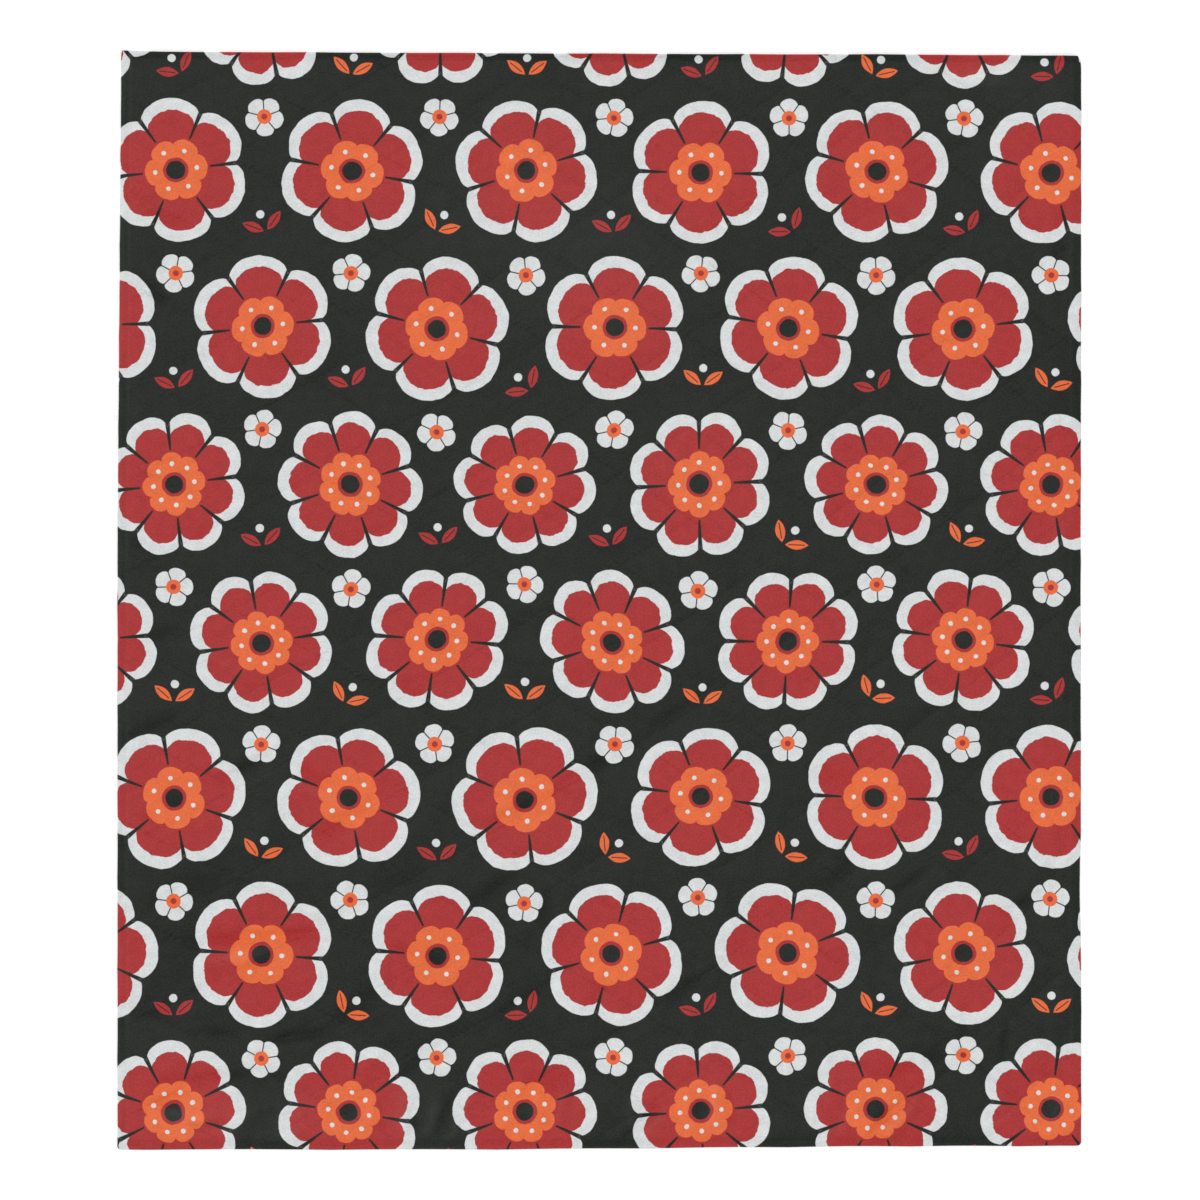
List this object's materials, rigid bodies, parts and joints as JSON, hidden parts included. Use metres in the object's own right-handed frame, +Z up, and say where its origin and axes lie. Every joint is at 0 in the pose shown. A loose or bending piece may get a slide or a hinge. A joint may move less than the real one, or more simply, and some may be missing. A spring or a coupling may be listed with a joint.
{
  "type": "quilt",
  "caption": "Thin bed quilt laid flat, with raised diamond stitching, a turned and topstitched hem and an all-over flower print.",
  "frame": {"origin": "middle of the flat underside, where the quilt rests on a surface", "axes": "+X to the quilt's right side, +Y to its top edge along its length, +Z up out of the printed face"},
  "size_m": [1.7768, 2.0257, 0.0102],
  "materials": {
    "printed_cloth": "matt brushed polyester, charcoal ground with red, orange and off-white flowers"
  },
  "bodies": {
    "root": {"quilt": "printed_cloth"}
  },
  "joints": []
}
